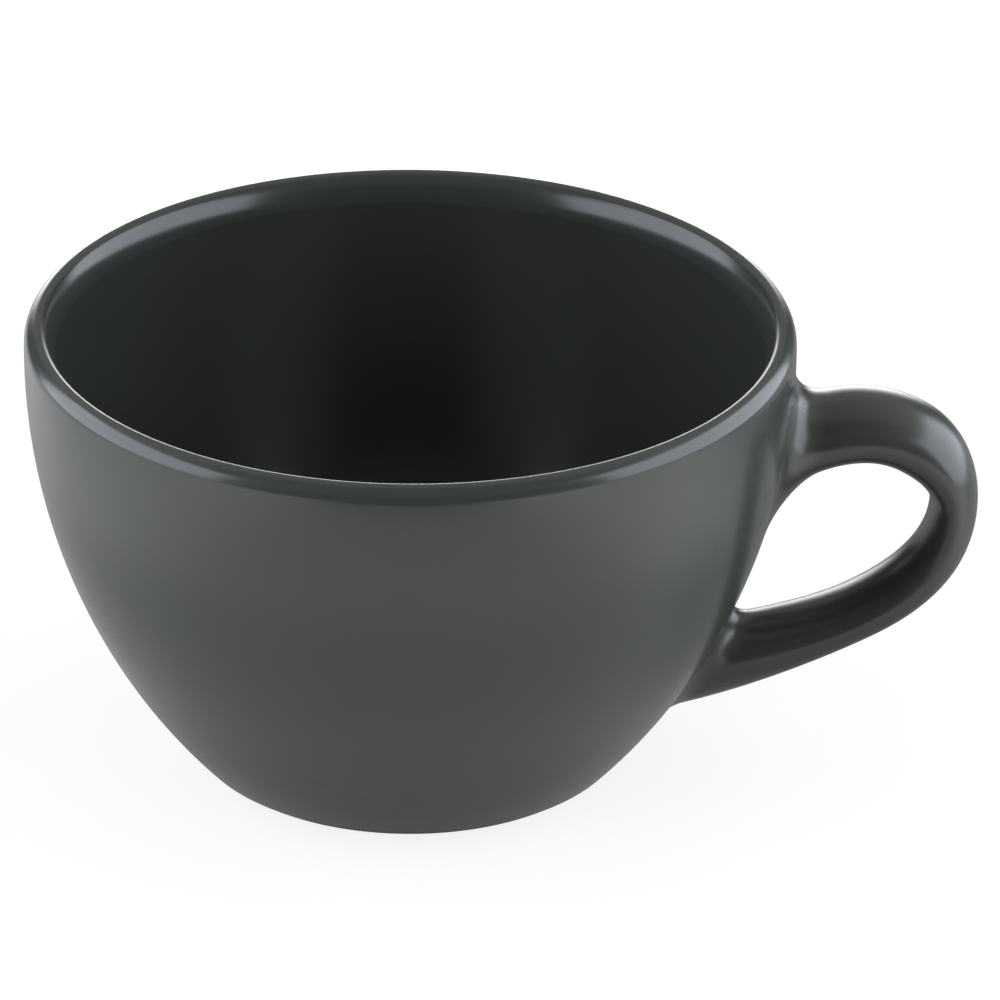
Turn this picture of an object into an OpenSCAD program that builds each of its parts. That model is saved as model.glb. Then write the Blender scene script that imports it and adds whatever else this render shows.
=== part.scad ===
// Cappuccino cup: a turned bowl on a foot ring, with an ear handle joined to it by slip.
// A thin glaze coat covers everything but the foot ring.
// Z is up, the origin is on the table at the centre of the foot, and the handle points along +X.

/* [Bowl] */
// Diameter over the widest level of the wall
rim_d = 105; // [98:0.5:114]
// Height from the table to the top of the lip
cup_h = 63.8; // [61:0.2:70]
// Height of the lip above the widest level of the wall
belly_drop = 4.4; // [3:0.1:8]
// Diameter at which the line of the wall reaches the table
foot_d = 58.4; // [52:0.2:64]
// Finished thickness of the wall under the lip
rim_t = 4.1; // [3.4:0.1:4.8]
// Height of the inside floor above the table
floor_h = 5.6; // [4.8:0.1:7]
// Radius between the inside floor and the inside wall
floor_r = 16; // [10:0.5:20]

/* [Lip] */
// Radius of the outer rounding of the lip, as a share of the wall thickness
lip_outer_share = 0.634; // [0.56:0.002:0.8]
// Radius of the crest of the lip, as a share of the wall thickness
lip_crest_share = 0.318; // [0.26:0.002:0.36]
// Radius of the inner rounding of the lip, as a share of the wall thickness
lip_inner_share = 1.536; // [1.3:0.002:1.8]
// Lean of the inner side from upright where its rounding meets the crest
lip_inner_lean = 35; // [28:1:42]

/* [Foot] */
// Width of the flat ring that stands on the table
foot_ring_w = 4.4; // [3:0.1:7]
// Rounding of the outer edge of the foot
foot_edge_r = 0.8; // [0.4:0.1:1.2]
// Depth of the recess inside the foot ring
recess_h = 1.8; // [1:0.1:2.4]
// Width of the slope from the foot ring into the recess
recess_slope_w = 1.6; // [1:0.1:3]

/* [Glaze] */
// Thickness of the glaze coat
glaze_t = 0.3; // [0.2:0.05:0.5]
// Height of the lower edge of the outer glaze above the table
glaze_line_h = 1; // [0.9:0.1:1.8]

/* [Handle line] */
// Height of the centre of the upper root, as a share of the height of the cup
upper_root_share = 0.72; // [0.69:0.0005:0.75]
// Height of the centre of the lower root, as a share of the height of the cup
lower_root_share = 0.187; // [0.175:0.0005:0.25]
// Height of the farthest point of the centre line, as a share of the height of the cup
handle_out_share = 0.5955; // [0.54:0.0005:0.64]
// Distance of the centre line from the widest level of the wall, at its farthest point
handle_reach = 22.2; // [19:0.1:27]
// Slope at which the upper arm leaves the wall
upper_root_angle = 28.8; // [20:0.2:38]
// Slope at which the lower arm leaves the wall
lower_root_angle = 16.4; // [10:0.2:19]
// Control leg at the upper root, as a share of the height between the roots
upper_root_leg_share = 0.469; // [0.36:0.001:0.53]
// Control leg above the farthest point, as a share of the height between the roots
bend_upper_leg_share = 0.2; // [0.15:0.001:0.29]
// Control leg below the farthest point, as a share of the height between the roots
bend_lower_leg_share = 0.4645; // [0.36:0.0005:0.53]
// Control leg at the lower root, as a share of the height between the roots
lower_root_leg_share = 0.488; // [0.36:0.0005:0.58]

/* [Handle section] */
// Thickness of the handle at the upper root
upper_root_t = 9.6; // [8:0.1:11]
// Thickness of the upper arm
upper_arm_t = 9.1; // [8:0.1:10.5]
// Thickness of the outer bend
bend_t = 6.6; // [5.5:0.1:8.5]
// Thickness of the lower arm
lower_arm_t = 7; // [6:0.1:9]
// Thickness of the handle at the lower root
lower_root_t = 10.4; // [8.5:0.1:11.4]
// Width of the handle at the upper root
upper_root_w = 16; // [12:0.1:18]
// Width of the handle at the lower root
lower_root_w = 11.8; // [10:0.1:15]

/* [Joints] */
// Thickness of the slip between a handle end and the bowl
slip_t = 0.6; // [0.4:0.1:1]
// Finished radius of both root fillets on the inside of the ear
ear_fillet_r = 5; // [3:0.1:6]
// Finished radius of the fillet on top of the upper root
upper_fillet_r = 5; // [3:0.1:6]
// Finished radius of the fillet under the lower root
lower_fillet_r = 2.2; // [1.6:0.1:2.6]
// Clearance between pieces that were joined before firing
seat_gap = 0.03; // [0.02:0.01:0.05]

/* [Hidden] */
$fn = 120;
// steps along the wall arc, along each small arc, and along a root fillet
wall_steps = 36;
arc_steps = 9;
fillet_steps = 5;
// corners of a handle section, and sections along the handle
sides = 32;
sections = 40;
angles = [for (i = [0:sides - 1]) 360 * i / sides];
// halvings in the search for the place at which a handle line meets the wall
seek_steps = 24;
// direction of the seam of the outer glaze, clear of both joints
seam_angle = 100;
// shares of a full section at which the rings of an end face lie
face_shares = [1 / 5, 2 / 5, 3 / 5, 4 / 5];
// shares of the fillet radius at which the rings of its seat lie
seat_shares = [1 / 3, 2 / 3, 1];
// angle through which a root fillet turns
fillet_turn = 90;
// stretch of the centre line in which each root lies, as curve shares from inside to outside
root_shares = [[-0.5, 0.6], [2.5, 1.4]];

rim_r = rim_d / 2;
foot_r = foot_d / 2;
belly_h = cup_h - belly_drop;
// outer wall: one arc, upright at the widest level, through the foot circle
wall_r = (pow(rim_r - foot_r, 2) + pow(belly_h, 2)) / (2 * (rim_r - foot_r));
wall_c = [rim_r - wall_r, belly_h];
// lip: an outer rounding, a crest and an inner rounding that together give the wall thickness
lip_outer_r = lip_outer_share * rim_t;
lip_crest_r = lip_crest_share * rim_t;
lip_inner_r = lip_inner_share * rim_t;
crest_run = rim_t - lip_inner_r + (lip_inner_r - lip_crest_r) * cos(lip_inner_lean);
crest_start = acos((lip_outer_r - crest_run) / (lip_outer_r - lip_crest_r));
crest_end = 180 - lip_inner_lean;
lip_rise = lip_outer_r * sin(crest_start) + lip_crest_r * (1 - sin(crest_start));
wall_end = asin((cup_h - lip_rise - belly_h) / (wall_r - lip_outer_r));
lip_outer_c = wall_c + (wall_r - lip_outer_r) * heading(wall_end);
lip_crest_c = lip_outer_c + (lip_outer_r - lip_crest_r) * heading(crest_start);
lip_inner_c = lip_crest_c + (lip_crest_r - lip_inner_r) * heading(crest_end);
// inner wall: an arc that starts upright under the lip, then a rounding into the flat floor
inside_r = wall_r - rim_t;
inside_c = lip_inner_c - [lip_inner_r + inside_r, 0];
floor_c_h = floor_h + floor_r;
floor_c = [inside_c.x + sqrt(pow(inside_r - floor_r, 2) - pow(floor_c_h - inside_c.y, 2)), floor_c_h];
inside_end = atan2(floor_c.y - inside_c.y, floor_c.x - inside_c.x);
// foot: rounding between the bare wall and the table
bare_r = wall_r - glaze_t;
foot_c = [wall_c.x + sqrt(pow(bare_r - foot_edge_r, 2) - pow(wall_c.y - foot_edge_r, 2)), foot_edge_r];
foot_start = atan2(foot_c.y - wall_c.y, foot_c.x - wall_c.x);
glaze_start = asin((glaze_line_h - wall_c.y) / wall_r);
ring_inner_r = foot_c.x - foot_ring_w;
recess_r = ring_inner_r - recess_slope_w;
// handle centre line: two curves that meet, upright, at the farthest point
upper_root_h = upper_root_share * cup_h;
lower_root_h = lower_root_share * cup_h;
roots_h = upper_root_h - lower_root_h;
out_point = [rim_r + handle_reach, handle_out_share * cup_h];
upper_root = [wall_radius(upper_root_h), upper_root_h];
lower_root = [wall_radius(lower_root_h), lower_root_h];
upper_curve = [
    upper_root,
    upper_root + upper_root_leg_share * roots_h * heading(upper_root_angle),
    out_point + [0, bend_upper_leg_share * roots_h],
    out_point
];
lower_curve = [
    out_point,
    out_point - [0, bend_lower_leg_share * roots_h],
    lower_root + lower_root_leg_share * roots_h * heading(lower_root_angle),
    lower_root
];
thicknesses = [upper_root_t, upper_arm_t, bend_t, lower_arm_t, lower_root_t];
outer_fillets = [upper_fillet_r, lower_fillet_r];
// how far the bare clay lies under the finished surface of handle and bowl
bare = -glaze_t;
// levels above the finished wall: the seat of the slip and the seat of the handle
slip_seat = bare + seat_gap;
handle_seat = bare + slip_t;

function heading(a) = [cos(a), sin(a)];
function mix(a, b, s) = a + (b - a) * s;
function ease(s) = s * s * (3 - 2 * s);
function after_first(v) = [for (i = [1:len(v) - 1]) v[i]];
function flip(v) = [for (i = [len(v) - 1:-1:0]) v[i]];
// points of an arc after its first one, which ends the stretch before it
function arc(c, r, from, to, n) = [for (i = [1:n]) c + r * heading(mix(from, to, i / n))];
function wall_radius(h) = wall_c.x + sqrt(pow(wall_r, 2) - pow(belly_h - h, 2));

// outline of the outside, from a start angle up over the lip, at a depth under the finished surface
function outside(depth, from) = concat(
    [wall_c + (wall_r - depth) * heading(from)],
    arc(wall_c, wall_r - depth, from, wall_end, wall_steps),
    arc(lip_outer_c, lip_outer_r - depth, wall_end, crest_start, arc_steps),
    arc(lip_crest_c, lip_crest_r - depth, crest_start, crest_end, arc_steps),
    arc(lip_inner_c, lip_inner_r - depth, crest_end, 180, arc_steps)
);
// outline of the inside, from under the lip to the middle of the floor
function inside(depth) = concat(
    [inside_c + [inside_r + depth, 0]],
    arc(inside_c, inside_r + depth, 0, inside_end, wall_steps),
    arc(floor_c, floor_r + depth, inside_end, -90, arc_steps),
    [[0, floor_h - depth]]
);

function curve(p, s) =
    p[0] * pow(1 - s, 3) + p[1] * 3 * s * pow(1 - s, 2) + p[2] * 3 * s * s * (1 - s) + p[3] * pow(s, 3);
function slope(p, s) =
    3 * ((p[1] - p[0]) * pow(1 - s, 2) + (p[2] - p[1]) * 2 * s * (1 - s) + (p[3] - p[2]) * s * s);
// centre line of the handle: 0 at the upper root, 1 at the farthest point, 2 at the lower root
function centre(u) =
    u < 0 ? upper_root + slope(upper_curve, 0) * u
    : u <= 1 ? curve(upper_curve, u)
    : u <= 2 ? curve(lower_curve, u - 1)
    : lower_root + slope(lower_curve, 1) * (u - 2);
function along(u) =
    let (v = u <= 1 ? slope(upper_curve, max(u, 0)) : slope(lower_curve, min(u, 2) - 1)) v / norm(v);
function thickness(u) =
    let (v = min(max(2 * u, 0), 4), i = min(floor(v), 3))
    mix(thicknesses[i], thicknesses[i + 1], ease(v - i));
function width(u) = mix(upper_root_w, lower_root_w, min(max(u / 2, 0), 1));
// one point of a handle section: at an angle, at a share of the section grown by a distance
function spot(u, a, share, grow) =
    let (c = centre(u), d = along(u), t = (thickness(u) / 2 + grow) * share * cos(a))
    [c.x - d.y * t, (width(u) / 2 + grow) * share * sin(a), c.y + d.x * t];
// distance of a point outside the finished wall
function stand_off(p) = norm([norm([p.x, p.y]) - wall_c.x, p.z - wall_c.y]) - wall_r;
// place on the centre line at which one line of the handle has a given distance from the wall
function seek(a, share, grow, level, low, high, n) =
    let (m = (low + high) / 2)
    n == 0 ? m
    : stand_off(spot(m, a, share, grow)) < level ? seek(a, share, grow, level, m, high, n - 1)
    : seek(a, share, grow, level, low, m, n - 1);
function place(root, a, share, grow, level) =
    seek(a, share, grow, level, root_shares[root][0], root_shares[root][1], seek_steps);
function meet(root, a, share, grow, level) = spot(place(root, a, share, grow, level), a, share, grow);
// radius of a root fillet: one value on the inside of the ear, another on the outside
function fillet(root, a) = mix(outer_fillets[root], ear_fillet_r, (1 - cos(a)) / 2);

// ring of points around one root, at a distance from the wall
function ring(root, share, grow, level) =
    [for (a = angles) meet(root, a, share, grow, level)];
// rings of an end face, from the middle outwards
function face_rings(root, grow, level) =
    [for (s = face_shares) ring(root, s, grow, level)];
// rings of a root fillet, from the bowl to just before the handle, at a depth under the finished surface
function fillet_rings(root, depth) =
    [for (i = [0:fillet_steps - 1]) [for (a = angles) let (
        r = fillet(root, a),
        d = heading(fillet_turn * i / fillet_steps) * (r + depth)
    ) meet(root, a, 1, r - d.y, r - d.x)]];
// rings of the handle between its two fillets
function arm_rings(grow) =
    let (
        first = [for (a = angles) place(0, a, 1, grow, fillet(0, a))],
        last = [for (a = angles) place(1, a, 1, grow, fillet(1, a))]
    )
    [for (j = [0:sections]) [for (i = [0:sides - 1])
        spot(mix(first[i], last[i], j / sections), angles[i], 1, grow)]];
function middle(root, level) = spot(place(root, 0, 0, 0, level), 0, 0, 0);
function joined(v) = [for (r = v) each r];

// faces between the rings of a list, each ring with the next
function band_faces(count) = [for (j = [0:count - 2], i = [0:sides - 1])
    let (
        k = (i + 1) % sides,
        p = j * sides + i,
        q = j * sides + k
    )
    each [[p, q, p + sides], [q, q + sides, p + sides]]];

// closed body through a list of rings, with a middle point at either end
module body(rings, first, last) {
    n = len(rings);
    polyhedron(
        points = concat(joined(rings), [first, last]),
        faces = concat(
            band_faces(n),
            [for (i = [0:sides - 1]) [n * sides, (i + 1) % sides, i]],
            [for (i = [0:sides - 1]) let (p = (n - 1) * sides) [n * sides + 1, p + i, p + (i + 1) % sides]]
        )
    );
}

// closed shell through a list of rings whose last ring joins the first
module shell(rings) {
    n = len(rings);
    polyhedron(
        points = joined(rings),
        faces = concat(
            band_faces(n),
            [for (i = [0:sides - 1]) let (k = (i + 1) % sides, p = (n - 1) * sides)
                each [[p + i, p + k, i], [p + k, k, i]]]
        )
    );
}

// space that one joint takes out of the outer glaze, straight along its arm
module joint_space(root) {
    c = centre(2 * root);
    d = along(2 * root);
    edge = [for (a = angles) meet(root, a, 1, fillet(root, a) + seat_gap, 0)];
    translate([c.x, 0, c.y])
    rotate([0, 90 - atan2(d.y, d.x), 0])
    linear_extrude(height = rim_r, center = true)
    polygon([for (p = edge) [d.y * (p.x - c.x) - d.x * (p.z - c.y), p.y]]);
}

// slip pad under one handle end, with its fillet around the handle
module slip_joint(root) {
    rings = concat(
        face_rings(root, bare, slip_seat),
        [ring(root, 1, bare, slip_seat)],
        [for (s = seat_shares) [for (a = angles)
            meet(root, a, 1, mix(bare, fillet(root, a), s), slip_seat)]],
        after_first(fillet_rings(root, glaze_t)),
        [[for (a = angles) meet(root, a, 1, bare, fillet(root, a))]],
        [ring(root, 1, bare, handle_seat)],
        flip(face_rings(root, bare, handle_seat))
    );
    body(
        root == 0 ? rings : [for (r = rings) flip(r)],
        middle(root, slip_seat),
        middle(root, handle_seat)
    );
}

// clay bowl with its lip, floor and bare foot ring
module bowl() {
    color("#cfc6b4")
    rotate_extrude()
    polygon(concat(
        [[0, recess_h + glaze_t]],
        [[recess_r, recess_h + glaze_t]],
        [[ring_inner_r, 0]],
        [[foot_c.x, 0]],
        arc(foot_c, foot_edge_r, -90, foot_start, arc_steps),
        after_first(outside(glaze_t, foot_start)),
        after_first(inside(glaze_t))
    ));
}

// clay handle, cut at both ends to the curve of the bowl
module handle() {
    color("#cfc6b4")
    body(
        concat(
            face_rings(0, bare, handle_seat),
            [ring(0, 1, bare, handle_seat)],
            arm_rings(bare),
            [ring(1, 1, bare, handle_seat)],
            flip(face_rings(1, bare, handle_seat))
        ),
        middle(0, handle_seat),
        middle(1, handle_seat)
    );
}

// slip joint of the upper root
module upper_slip() {
    color("#bfb6a4")
    slip_joint(0);
}

// slip joint of the lower root
module lower_slip() {
    color("#bfb6a4")
    slip_joint(1);
}

// glaze on the outside of the bowl and over the lip, open under both handle joints
module outer_glaze() {
    color("#4f5351")
    difference() {
        rotate([0, 0, seam_angle])
        rotate_extrude()
        polygon(concat(outside(0, glaze_start), flip(outside(glaze_t, glaze_start))));
        joint_space(0);
        joint_space(1);
    }
}

// glaze on the inside of the bowl
module inner_glaze() {
    color("#2b2e2c")
    rotate_extrude()
    polygon(concat(inside(glaze_t), flip(inside(0))));
}

// glaze over the handle and both root fillets
module handle_glaze() {
    color("#4f5351")
    shell(concat(
        fillet_rings(0, 0),
        arm_rings(0),
        flip(fillet_rings(1, 0)),
        fillet_rings(1, glaze_t),
        flip(arm_rings(bare)),
        flip(fillet_rings(0, glaze_t))
    ));
}

// glaze in the recess inside the foot ring
module base_glaze() {
    color("#4f5351")
    translate([0, 0, recess_h])
    cylinder(h = glaze_t, r = recess_r - seat_gap);
}

bowl();
handle();
upper_slip();
lower_slip();
outer_glaze();
inner_glaze();
handle_glaze();
base_glaze();
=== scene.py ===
"""Looks of the cappuccino cup: glaze coats, bare clay, soft studio light and the camera."""

from math import acos, asin, atan2, cos, hypot, pi, radians, sin, sqrt

import bpy
from mathutils import Matrix, Vector


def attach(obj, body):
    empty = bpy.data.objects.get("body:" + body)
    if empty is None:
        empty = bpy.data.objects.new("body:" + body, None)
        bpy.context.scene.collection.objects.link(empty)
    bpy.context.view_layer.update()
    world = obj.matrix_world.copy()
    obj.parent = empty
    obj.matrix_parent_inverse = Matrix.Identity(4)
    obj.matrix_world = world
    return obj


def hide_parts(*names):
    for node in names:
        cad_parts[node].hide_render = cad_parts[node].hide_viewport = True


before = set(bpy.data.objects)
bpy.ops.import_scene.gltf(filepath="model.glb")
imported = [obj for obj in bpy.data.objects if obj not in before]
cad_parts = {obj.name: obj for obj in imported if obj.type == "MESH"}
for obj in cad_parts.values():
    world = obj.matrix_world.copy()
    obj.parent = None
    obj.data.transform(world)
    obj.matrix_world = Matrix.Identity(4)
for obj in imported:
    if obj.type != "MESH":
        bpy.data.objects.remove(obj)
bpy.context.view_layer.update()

# Sizes of the cup in metres, as in the part's source
MM = 0.001
RIM_R = 52.5 * MM
CUP_H = 63.8 * MM
BELLY_H = CUP_H - 4.4 * MM
FOOT_R = 29.2 * MM
RIM_T = 4.1 * MM
FLOOR_H = 5.6 * MM
FLOOR_R = 16 * MM
LIP_OUTER_R = 0.634 * RIM_T
LIP_CREST_R = 0.318 * RIM_T
LIP_INNER_R = 1.536 * RIM_T
LIP_INNER_LEAN = radians(35)
FOOT_RING_W = 4.4 * MM
FOOT_EDGE_R = 0.8 * MM
RECESS_H = 1.8 * MM
RECESS_SLOPE_W = 1.6 * MM
GLAZE_T = 0.3 * MM
GLAZE_LINE_H = 1 * MM
SEAT_GAP = 0.03 * MM
EAR_FILLET_R = 5 * MM
OUTER_FILLETS = [5 * MM, 2.2 * MM]

UPPER_ROOT_H = 0.72 * CUP_H
LOWER_ROOT_H = 0.187 * CUP_H
ROOTS_H = UPPER_ROOT_H - LOWER_ROOT_H
OUT_POINT = Vector((RIM_R + 22.2 * MM, 0.5955 * CUP_H))
UPPER_ROOT_ANGLE = radians(28.8)
LOWER_ROOT_ANGLE = radians(16.4)
UPPER_ROOT_LEG = 0.469 * ROOTS_H
BEND_UPPER_LEG = 0.2 * ROOTS_H
BEND_LOWER_LEG = 0.4645 * ROOTS_H
LOWER_ROOT_LEG = 0.488 * ROOTS_H
THICKNESSES = [9.6 * MM, 9.1 * MM, 6.6 * MM, 7 * MM, 10.4 * MM]
UPPER_ROOT_W = 16 * MM
LOWER_ROOT_W = 11.8 * MM

# Fineness of the meshes
SPIN_STEPS = 192
WALL_STEPS = 60
LIP_STEPS = 28
SMALL_ARC_STEPS = 12
HANDLE_SIDES = 80
HANDLE_RINGS = 120
FILLET_RINGS = 14
SEEK_STEPS = 40
SMOOTH_ANGLE = radians(45)


def heading(angle):
    return Vector((cos(angle), sin(angle)))


def mix(a, b, share):
    return a + (b - a) * share


def arc(centre, radius, start, end, steps):
    """Points of an arc after its first one, in the half plane through the axis."""
    return [centre + radius * heading(mix(start, end, i / steps)) for i in range(1, steps + 1)]


# Outer wall, lip, inner wall and foot, in the half plane through the axis
WALL_R = ((RIM_R - FOOT_R) ** 2 + BELLY_H ** 2) / (2 * (RIM_R - FOOT_R))
WALL_C = Vector((RIM_R - WALL_R, BELLY_H))
CREST_RUN = RIM_T - LIP_INNER_R + (LIP_INNER_R - LIP_CREST_R) * cos(LIP_INNER_LEAN)
CREST_START = acos((LIP_OUTER_R - CREST_RUN) / (LIP_OUTER_R - LIP_CREST_R))
CREST_END = pi - LIP_INNER_LEAN
LIP_RISE = LIP_OUTER_R * sin(CREST_START) + LIP_CREST_R * (1 - sin(CREST_START))
WALL_END = asin((CUP_H - LIP_RISE - BELLY_H) / (WALL_R - LIP_OUTER_R))
LIP_OUTER_C = WALL_C + (WALL_R - LIP_OUTER_R) * heading(WALL_END)
LIP_CREST_C = LIP_OUTER_C + (LIP_OUTER_R - LIP_CREST_R) * heading(CREST_START)
LIP_INNER_C = LIP_CREST_C + (LIP_CREST_R - LIP_INNER_R) * heading(CREST_END)
INSIDE_R = WALL_R - RIM_T
INSIDE_C = LIP_INNER_C - Vector((LIP_INNER_R + INSIDE_R, 0))
FLOOR_C_H = FLOOR_H + FLOOR_R
FLOOR_C_R = INSIDE_C.x + sqrt((INSIDE_R - FLOOR_R) ** 2 - (FLOOR_C_H - INSIDE_C.y) ** 2)
FLOOR_C = Vector((FLOOR_C_R, FLOOR_C_H))
INSIDE_END = atan2(FLOOR_C.y - INSIDE_C.y, FLOOR_C.x - INSIDE_C.x)
GLAZE_START = asin((GLAZE_LINE_H - WALL_C.y) / WALL_R)
BARE_R = WALL_R - GLAZE_T
FOOT_C_R = WALL_C.x + sqrt((BARE_R - FOOT_EDGE_R) ** 2 - (WALL_C.y - FOOT_EDGE_R) ** 2)
FOOT_C = Vector((FOOT_C_R, FOOT_EDGE_R))
FOOT_START = atan2(FOOT_C.y - WALL_C.y, FOOT_C.x - WALL_C.x)
RING_INNER_R = FOOT_C.x - FOOT_RING_W
RECESS_R = RING_INNER_R - RECESS_SLOPE_W


def outside(depth, start):
    """Outline of the outside, from a start angle up over the lip, at a depth under the glaze surface."""
    return (
        [WALL_C + (WALL_R - depth) * heading(start)]
        + arc(WALL_C, WALL_R - depth, start, WALL_END, WALL_STEPS)
        + arc(LIP_OUTER_C, LIP_OUTER_R - depth, WALL_END, CREST_START, LIP_STEPS)
        + arc(LIP_CREST_C, LIP_CREST_R - depth, CREST_START, CREST_END, LIP_STEPS)
        + arc(LIP_INNER_C, LIP_INNER_R - depth, CREST_END, pi, LIP_STEPS)
    )


def inside(depth):
    """Outline of the inside, from under the lip to the middle of the floor."""
    return (
        [INSIDE_C + Vector((INSIDE_R + depth, 0))]
        + arc(INSIDE_C, INSIDE_R + depth, 0, INSIDE_END, WALL_STEPS)
        + arc(FLOOR_C, FLOOR_R + depth, INSIDE_END, -pi / 2, LIP_STEPS)
        + [Vector((0, FLOOR_H - depth))]
    )


# Handle line: two curves that meet, upright, at the farthest point
def wall_radius(height):
    return WALL_C.x + sqrt(WALL_R ** 2 - (BELLY_H - height) ** 2)


UPPER_ROOT = Vector((wall_radius(UPPER_ROOT_H), UPPER_ROOT_H))
LOWER_ROOT = Vector((wall_radius(LOWER_ROOT_H), LOWER_ROOT_H))
UPPER_CURVE = [
    UPPER_ROOT,
    UPPER_ROOT + UPPER_ROOT_LEG * heading(UPPER_ROOT_ANGLE),
    OUT_POINT + Vector((0, BEND_UPPER_LEG)),
    OUT_POINT,
]
LOWER_CURVE = [
    OUT_POINT,
    OUT_POINT - Vector((0, BEND_LOWER_LEG)),
    LOWER_ROOT + LOWER_ROOT_LEG * heading(LOWER_ROOT_ANGLE),
    LOWER_ROOT,
]
# stretch of the handle line in which each root lies, from inside the wall to outside it
ROOT_STRETCHES = [(-0.5, 0.6), (2.5, 1.4)]


def curve_point(points, s):
    a, b, c, d = points
    return a * (1 - s) ** 3 + b * (3 * s * (1 - s) ** 2) + c * (3 * s * s * (1 - s)) + d * s ** 3


def curve_slope(points, s):
    a, b, c, d = points
    return 3 * ((b - a) * (1 - s) ** 2 + (c - b) * (2 * s * (1 - s)) + (d - c) * s * s)


def handle_centre(u):
    """Handle line: 0 at the upper root, 1 at the farthest point, 2 at the lower root."""
    if u < 0:
        return UPPER_ROOT + curve_slope(UPPER_CURVE, 0) * u
    if u <= 1:
        return curve_point(UPPER_CURVE, u)
    if u <= 2:
        return curve_point(LOWER_CURVE, u - 1)
    return LOWER_ROOT + curve_slope(LOWER_CURVE, 1) * (u - 2)


def handle_direction(u):
    if u <= 1:
        return curve_slope(UPPER_CURVE, max(u, 0)).normalized()
    return curve_slope(LOWER_CURVE, min(u, 2) - 1).normalized()


def handle_thickness(u):
    place = min(max(2 * u, 0), 4)
    i = min(int(place), 3)
    s = place - i
    return mix(THICKNESSES[i], THICKNESSES[i + 1], s * s * (3 - 2 * s))


def handle_spot(u, angle, grow):
    """Point of a handle section at an angle, on the section grown by a distance."""
    c, d = handle_centre(u), handle_direction(u)
    across = (handle_thickness(u) / 2 + grow) * cos(angle)
    width = mix(UPPER_ROOT_W, LOWER_ROOT_W, min(max(u / 2, 0), 1))
    return Vector((c.x - d.y * across, (width / 2 + grow) * sin(angle), c.y + d.x * across))


def stand_off(p):
    """Distance of a point outside the finished wall."""
    return hypot(hypot(p.x, p.y) - WALL_C.x, p.z - WALL_C.y) - WALL_R


def root_place(root, angle, grow, level):
    """Place on the handle line at which one line of the handle has a given distance from the wall."""
    low, high = ROOT_STRETCHES[root]
    for _ in range(SEEK_STEPS):
        middle = (low + high) / 2
        if stand_off(handle_spot(middle, angle, grow)) < level:
            low = middle
        else:
            high = middle
    return low


ANGLES = [2 * pi * i / HANDLE_SIDES for i in range(HANDLE_SIDES + 1)]
# how far the rim of the handle's glaze runs on, and sinks, under the glaze of the wall
TUCK_W = 0.5 * MM
TUCK_DEPTH = 0.02 * MM


def fillet_radius(root, angle):
    """Radius of a root fillet: one value on the inside of the ear, another on the outside."""
    return mix(OUTER_FILLETS[root], EAR_FILLET_R, (1 - cos(angle)) / 2)


def root_spot(root, angle, grow, level):
    return handle_spot(root_place(root, angle, grow, level), angle, grow)


def root_rings(root):
    """Rings from the tucked rim over the fillet to just before the handle's own surface."""
    radii = [(a, fillet_radius(root, a)) for a in ANGLES]
    rings = [[root_spot(root, a, r + TUCK_W, -TUCK_DEPTH) for a, r in radii]]
    for i in range(FILLET_RINGS):
        turn = pi / 2 * i / FILLET_RINGS
        rings.append([root_spot(root, a, r * (1 - sin(turn)), r * (1 - cos(turn))) for a, r in radii])
    return rings


def arm_rings():
    """Rings of the handle between its two fillets."""
    first = [root_place(0, a, 0, fillet_radius(0, a)) for a in ANGLES]
    last = [root_place(1, a, 0, fillet_radius(1, a)) for a in ANGLES]
    shares = [j / HANDLE_RINGS for j in range(HANDLE_RINGS + 1)]
    return [[handle_spot(mix(u, v, s), a, 0) for u, v, a in zip(first, last, ANGLES)] for s in shares]


# Modelling steps that several pieces share
def new_piece(name):
    piece = bpy.context.object
    piece.name = name
    piece.data.name = name
    return piece


def spun(name, outline):
    """A vertex is extruded along an outline, and the line is spun round the axis of the cup."""
    bpy.ops.object.select_all(action="DESELECT")
    bpy.ops.mesh.primitive_plane_add(size=RIM_T)
    piece = new_piece(name)
    bpy.ops.object.mode_set(mode="EDIT")
    bpy.ops.mesh.select_all(action="SELECT")
    bpy.ops.mesh.merge(type="CENTER")
    points = [Vector((p.x, 0, p.y)) for p in outline]
    bpy.ops.transform.translate(value=points[0])
    for here, there in zip(points, points[1:]):
        bpy.ops.mesh.extrude_region_move(TRANSFORM_OT_translate={"value": there - here})
    bpy.ops.mesh.select_all(action="SELECT")
    bpy.ops.mesh.spin(steps=SPIN_STEPS, angle=2 * pi, center=(0, 0, 0), axis=(0, 0, 1))
    tidy_mesh()
    bpy.ops.object.mode_set(mode="OBJECT")
    return piece


def tidy_mesh():
    """Closes seams and poles, and turns the faces outwards."""
    bpy.ops.mesh.select_all(action="SELECT")
    bpy.ops.mesh.remove_doubles(threshold=1e-7)
    bpy.ops.mesh.normals_make_consistent(inside=False)


def coat(piece, side):
    """Gives a surface the thickness of the glaze: side -1 is under the faces, 1 is over them."""
    thicken = piece.modifiers.new("glaze", "SOLIDIFY")
    thicken.thickness = GLAZE_T
    thicken.offset = side
    bpy.ops.object.modifier_apply(modifier=thicken.name)


def finish_piece(piece, node, material):
    bpy.ops.object.shade_smooth_by_angle(angle=SMOOTH_ANGLE)
    piece.data.materials.append(material)
    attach(piece, "root")
    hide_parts(node)
    return piece


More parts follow.
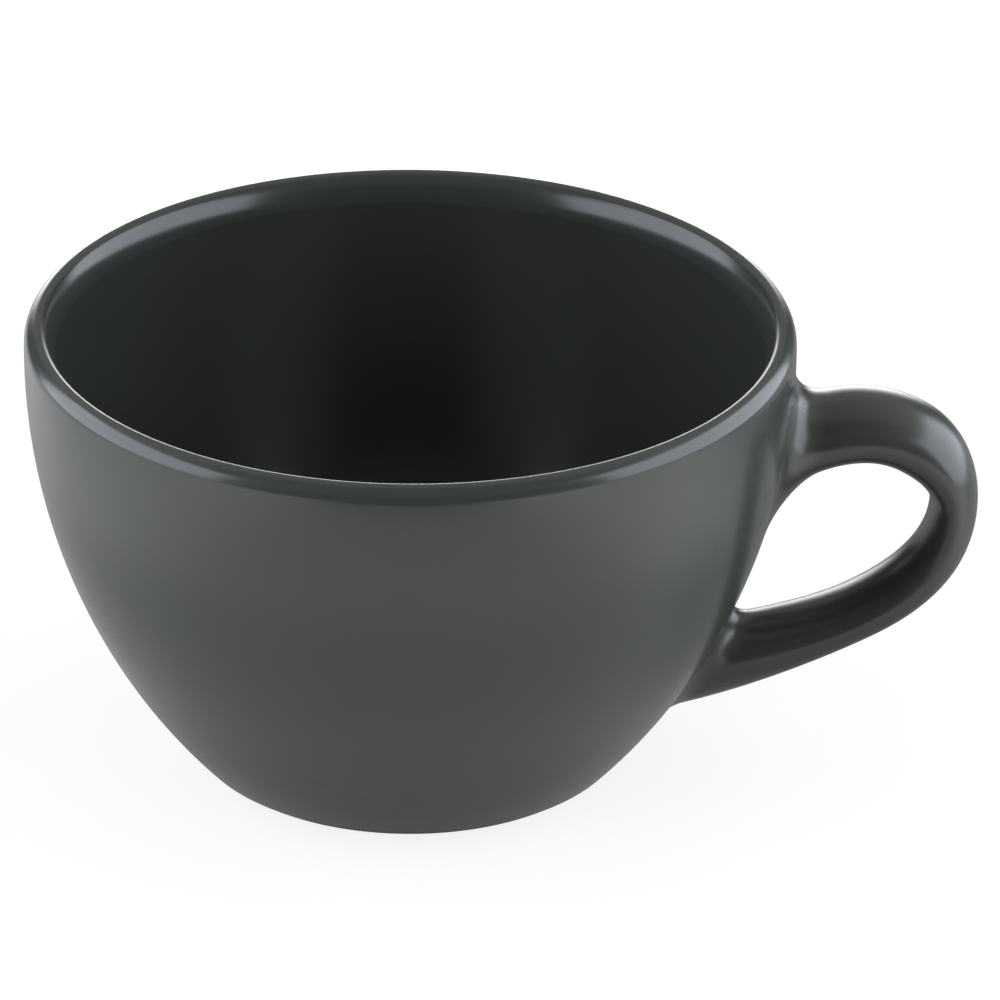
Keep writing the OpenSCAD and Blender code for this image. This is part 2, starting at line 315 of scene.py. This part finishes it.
# Shader tools
class Value:
    """A number socket of a shader, for use in Python sums."""

    def __init__(self, finish, socket):
        self.finish = finish
        self.socket = socket

    def math(self, operation, first, second):
        return self.finish.add("ShaderNodeMath", {"operation": operation}, {0: first, 1: second})

    def __add__(self, other):
        return self.math("ADD", self, other)

    __radd__ = __add__

    def __sub__(self, other):
        return self.math("SUBTRACT", self, other)

    def __rsub__(self, other):
        return self.math("SUBTRACT", other, self)

    def __mul__(self, other):
        return self.math("MULTIPLY", self, other)

    __rmul__ = __mul__

    def over(self, low, high):
        """0 below low, 1 above high, and smooth between them."""
        return self.finish.add(
            "ShaderNodeMapRange",
            {"interpolation_type": "SMOOTHSTEP"},
            {"Value": self, "From Min": low, "From Max": high},
        )


class Finish:
    """The node tree of a material or a world."""

    def __init__(self, owner):
        owner.use_nodes = True
        self.owner = owner
        self.tree = owner.node_tree
        self.tree.nodes.clear()

    def add(self, kind, settings=None, sockets=None, output=0):
        """Adds a node of a kind, with its settings first and then the values or links of its sockets."""
        node = self.tree.nodes.new(kind)
        for name, value in (settings or {}).items():
            setattr(node, name, value)
        for name, value in (sockets or {}).items():
            if isinstance(value, Value):
                self.tree.links.new(value.socket, node.inputs[name])
            else:
                node.inputs[name].default_value = value
        return Value(self, node.outputs[output]) if node.outputs else node

    def noise(self, place, scale, detail=2.0):
        return self.add("ShaderNodeTexNoise", {}, {"Vector": place, "Scale": scale, "Detail": detail})

    def blend(self, share, a, b):
        return self.add("ShaderNodeMix", {"data_type": "RGBA"}, {0: share, 6: a, 7: b}, output=2)

    def place(self):
        return self.add("ShaderNodeTexCoord", output="Object")

    def part(self, place, axis):
        return self.add("ShaderNodeSeparateXYZ", {}, {0: place}, output=axis)

    def ray(self, kind):
        return self.add("ShaderNodeLightPath", output=kind)

    def surface(self, shader):
        self.add("ShaderNodeOutputMaterial", {}, {"Surface": shader})
        return self.owner


def new_finish(name):
    return Finish(bpy.data.materials.new(name))


LIP_BAND = 1.6 * MM
GLAZE_IOR = 1.56
GLAZE_WAVE = 0.02 * MM
CLAY_GRAIN = 0.05 * MM
# colour of a darker band of clay from just above the table up to the glaze line round the foot
FOOT_BAND_CLAY = (0.10, 0.095, 0.085, 1)
FOOT_BAND_START = 0.4 * MM
FOOT_BAND_FADE = GLAZE_LINE_H + 0.2 * MM
FOOT_BAND_END = GLAZE_LINE_H + 0.6 * MM


def glaze(name, thick, thin, roughness):
    """Dark glaze: thick colour on the walls, thin colour where it runs off the lip."""
    f = new_finish(name)
    place = f.place()
    height = f.part(place, "Z")
    clouds = f.noise(place, 70, 3.0)
    lip = height.over(CUP_H - LIP_BAND, CUP_H)
    colour = f.blend(lip * 0.7 + (clouds - 0.5) * 0.5 * (1 - lip), thick, thin)
    peel = f.noise(place, 420, 1.0)
    waves = f.noise(place, 55, 0.0)
    normal = f.add(
        "ShaderNodeBump",
        {},
        {"Strength": 0.25, "Distance": GLAZE_WAVE, "Height": peel * 0.12 + waves},
    )
    shader = f.add(
        "ShaderNodeBsdfPrincipled",
        {},
        {
            "Base Color": colour,
            "Roughness": roughness + (clouds - 0.5) * 0.04,
            "IOR": GLAZE_IOR,
            "Normal": normal,
        },
    )
    return f.surface(shader)


def clay(name, light, dark):
    """Bare fired clay with a fine grain, darker in a band from just above the table up to the edge of
    the glaze round the foot.
    """
    f = new_finish(name)
    place = f.place()
    grain = f.noise(place, 2600, 3.0)
    patches = f.noise(place, 120, 2.0)
    height = f.part(place, "Z")
    foot_band = height.over(0, FOOT_BAND_START) * (1 - height.over(FOOT_BAND_FADE, FOOT_BAND_END))
    body = f.blend(grain * 0.6 + patches * 0.4, dark, light)
    shader = f.add(
        "ShaderNodeBsdfPrincipled",
        {},
        {
            "Base Color": f.blend(foot_band, body, FOOT_BAND_CLAY),
            "Roughness": 0.78 + grain * 0.2,
            "Normal": f.add(
                "ShaderNodeBump", {}, {"Strength": 0.4, "Distance": CLAY_GRAIN, "Height": grain}
            ),
        },
    )
    return f.surface(shader)


THIN_GLAZE = (0.053, 0.060, 0.053, 1)
outer_glaze = glaze("outer_glaze", (0.0438, 0.0502, 0.0475, 1), THIN_GLAZE, 0.21)
handle_glaze = glaze("handle_glaze", (0.0455, 0.0500, 0.0440, 1), THIN_GLAZE, 0.27)
inner_glaze = glaze("inner_glaze", (0.0375, 0.0422, 0.0385, 1), THIN_GLAZE, 0.21)
bare_clay = clay("bare_clay", (0.62, 0.57, 0.46, 1), (0.46, 0.42, 0.34, 1))
joint_slip = clay("joint_slip", (0.52, 0.47, 0.38, 1), (0.40, 0.36, 0.29, 1))


# Glaze on the outside of the bowl and over the lip
def make_outer_glaze():
    piece = spun("cup_outer_glaze", outside(0, GLAZE_START))
    coat(piece, -1)
    return finish_piece(piece, "outer_glaze", outer_glaze)


# Glaze on the inside of the bowl
def make_inner_glaze():
    piece = spun("cup_inner_glaze", inside(0))
    coat(piece, 1)
    return finish_piece(piece, "inner_glaze", inner_glaze)


# Clay bowl with its foot ring
def make_bowl():
    outline = (
        [Vector((0, RECESS_H + GLAZE_T)), Vector((RECESS_R, RECESS_H + GLAZE_T))]
        + [Vector((RING_INNER_R, 0)), Vector((FOOT_C.x, 0))]
        + arc(FOOT_C, FOOT_EDGE_R, -pi / 2, FOOT_START, SMALL_ARC_STEPS)
        + outside(GLAZE_T, FOOT_START)[1:]
        + inside(GLAZE_T)[1:]
    )
    piece = spun("cup_bowl", outline)
    return finish_piece(piece, "bowl", bare_clay)


# Glaze in the recess under the foot
def make_base_glaze():
    edge_r = GLAZE_T / 2
    edge_c = Vector((RECESS_R - SEAT_GAP - edge_r, RECESS_H + edge_r))
    outline = (
        [Vector((0, RECESS_H)), Vector((edge_c.x, RECESS_H))]
        + arc(edge_c, edge_r, -pi / 2, pi / 2, SMALL_ARC_STEPS)
        + [Vector((0, RECESS_H + GLAZE_T))]
    )
    piece = spun("cup_base_glaze", outline)
    return finish_piece(piece, "base_glaze", outer_glaze)


# Glaze over the handle and both root fillets: a flat grid wrapped round the handle line
def make_handle_glaze():
    rings = root_rings(0) + arm_rings() + root_rings(1)[::-1]
    bpy.ops.object.select_all(action="DESELECT")
    bpy.ops.mesh.primitive_grid_add(x_subdivisions=len(rings) - 1, y_subdivisions=HANDLE_SIDES, size=1)
    piece = new_piece("cup_handle_glaze")
    for vertex in piece.data.vertices:
        ring = rings[round((vertex.co.x + 0.5) * (len(rings) - 1))]
        vertex.co = ring[round((vertex.co.y + 0.5) * HANDLE_SIDES)]
    bpy.ops.object.mode_set(mode="EDIT")
    tidy_mesh()
    bpy.ops.object.mode_set(mode="OBJECT")
    coat(piece, -1)
    return finish_piece(piece, "handle_glaze", handle_glaze)


def dress_node(node, material):
    """A CAD node that keeps its shape gets a finish."""
    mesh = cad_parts[node].data
    mesh.materials.clear()
    mesh.materials.append(material)


make_outer_glaze()
make_inner_glaze()
make_bowl()
make_base_glaze()
make_handle_glaze()
dress_node("handle", bare_clay)
dress_node("upper_slip", joint_slip)
dress_node("lower_slip", joint_slip)


# Floor, light and camera
FLOOR_SIZE = 0.7
FLOOR_WHITE = (0.9, 0.9, 0.9, 1)
FLOOR_GLOW = 0.7
# painted reflection of the table in the glaze, a glow that is no lamp: its levels from back to front on
# each side, and a painted shadow from foot to edge under the cup
MIDDLE_BACK, MIDDLE_FRONT = 0.48, 0.75
LEFT_BACK, LEFT_FRONT = 0.97, 1.17
RIGHT_BACK, RIGHT_FRONT = 0.4, 1.3
SHADOW_AT_FOOT, SHADOW_AT_EDGE = 0.32, 0.52
# painted shadow of the handle on the table in the glaze
HANDLE_SHADE = 0.5


def make_floor():
    """White table; in the glaze it shows a painted glow, brightest beside the cup where the softboxes
    stand, with painted shadows round the foot and under the handle, and dark towards the front.
    """
    f = new_finish("white_floor")
    seen = f.ray("Is Camera Ray") + f.ray("Is Transmission Ray")
    mirrored = f.ray("Is Glossy Ray")
    place = f.place()
    x = f.part(place, "X")
    y = f.part(place, "Y")
    distance = f.add("ShaderNodeVectorMath", {"operation": "LENGTH"}, {0: place}, output="Value")
    beside = distance.over(0.07, 0.11)
    left = 1 - x.over(-0.14, -0.06)
    right = x.over(0.06, 0.14)
    front = 1 - y.over(-0.05, 0.05)
    # painted dark front: the table's glow in the glaze fades out towards the front
    dark_front_fade = y.over(-0.24, -0.16)
    middle = (1 - left - right) * (MIDDLE_BACK * (1 - front) + MIDDLE_FRONT * front * dark_front_fade)
    sides = left * mix(LEFT_BACK, LEFT_FRONT, front) + right * mix(RIGHT_BACK, RIGHT_FRONT, front)
    # painted shadow round the foot, in the table's glow
    foot_shadow = mix(SHADOW_AT_FOOT, SHADOW_AT_EDGE, distance.over(0.03, 0.05))
    # painted shadow of the handle, in the table's glow
    shade = 1 - HANDLE_SHADE * x.over(0.03, 0.06) * y.over(-0.04, 0.0)
    level = shade * (foot_shadow * (1 - beside) + beside * middle) + beside * sides
    diffuse = f.add("ShaderNodeBsdfDiffuse", {}, {"Color": FLOOR_WHITE})
    # in the glaze the table shows this painted glow instead of its lit colour
    strength = seen * 1.15 + mirrored * level
    glow = f.add("ShaderNodeEmission", {}, {"Color": (1, 1, 1, 1), "Strength": strength})
    far = distance.over(0.15, 0.32)
    share = seen * mix(FLOOR_GLOW, 1, far) + mirrored
    material = f.surface(f.add("ShaderNodeMixShader", {}, {0: share, 1: diffuse, 2: glow}))
    bpy.ops.object.select_all(action="DESELECT")
    bpy.ops.mesh.primitive_plane_add(size=FLOOR_SIZE)
    floor = new_piece("floor")
    floor.data.materials.append(material)


def make_softbox(name, location, size, radiance, colour, mirrored=True):
    """An upright lamp that faces the middle plane of the cup."""
    bpy.ops.object.light_add(type="AREA", location=location)
    lamp = bpy.context.object
    lamp.name = name
    lamp.data.shape = "RECTANGLE"
    lamp.data.size, lamp.data.size_y = size
    lamp.data.energy = radiance * pi * size[0] * size[1]
    lamp.data.color = colour
    lamp.rotation_mode = "QUATERNION"
    lamp.rotation_quaternion = Vector((-location[0], 0, 0)).to_track_quat("-Z", "Y")
    lamp.visible_camera = False
    lamp.visible_glossy = mirrored


LAMP_X = 0.35
SOFTBOX_RADIANCE = 3.4
FILL_RADIANCE = 4.45
FILL_SIZE = (0.20, 0.26)
COOL_WHITE = (0.85, 0.89, 1.0)
WARM_WHITE = (1.0, 0.98, 0.79)


def make_softboxes():
    """A softbox on each side, and a fill in front of each that lights the wall only."""
    make_softbox("left_softbox", (-LAMP_X, -0.02, 0.18), (0.50, 0.32), SOFTBOX_RADIANCE, COOL_WHITE)
    make_softbox("right_softbox", (LAMP_X, 0.06, 0.18), (0.60, 0.32), SOFTBOX_RADIANCE, COOL_WHITE)
    for name, x in (("left_front_fill", -LAMP_X), ("right_front_fill", LAMP_X)):
        make_softbox(name, (x, -0.34, 0.15), FILL_SIZE, FILL_RADIANCE, WARM_WHITE, mirrored=False)


LOW_BAND = 5
CEILING_FRONT, CEILING_BACK = 0.15, 0.46


def make_world():
    """Dim ceiling and a bright low band behind the cup; the camera sees white."""
    world = bpy.data.worlds.new("studio")
    bpy.context.scene.world = world
    f = Finish(world)
    direction = f.add("ShaderNodeTexCoord", output="Generated")
    up = f.part(direction, "Z")
    side = f.part(direction, "X")
    between = side.over(-0.9, -0.7) * (1 - side.over(0.7, 0.9))
    behind = f.part(direction, "Y").over(-0.1, 0.1)
    ahead = side.over(-0.45, -0.2) * (1 - side.over(0.1, 0.35))
    low_band = ahead * behind * (1 - up.over(0.12, 0.28)) * LOW_BAND
    ceiling = up.over(0.35, 0.5) * mix(CEILING_FRONT, CEILING_BACK, behind)
    seen = f.ray("Is Camera Ray") + f.ray("Is Transmission Ray")
    strength = seen + (1 - seen) * between * (low_band + ceiling)
    shade = f.add("ShaderNodeBackground", {}, {"Color": (1, 1, 1, 1), "Strength": strength})
    f.add("ShaderNodeOutputWorld", {}, {"Surface": shade})


CAMERA_TARGET = Vector((12.391 * MM, 0, 36.703 * MM))
CAMERA_DISTANCE = 1.0
CAMERA_ELEVATION = radians(26.327)
CAMERA_ROLL = radians(0.63)
CAMERA_LENS = 261.96


def make_camera():
    forward = Vector((0, cos(CAMERA_ELEVATION), -sin(CAMERA_ELEVATION)))
    bpy.ops.object.camera_add()
    camera = bpy.context.object
    camera.data.lens = CAMERA_LENS
    camera.data.sensor_width = 36
    turn = forward.to_track_quat("-Z", "Y").to_matrix().to_4x4() @ Matrix.Rotation(CAMERA_ROLL, 4, "Z")
    camera.matrix_world = Matrix.Translation(CAMERA_TARGET - CAMERA_DISTANCE * forward) @ turn
    bpy.context.scene.camera = camera


make_floor()
make_softboxes()
make_world()
make_camera()
bpy.context.scene.view_settings.view_transform = "Standard"
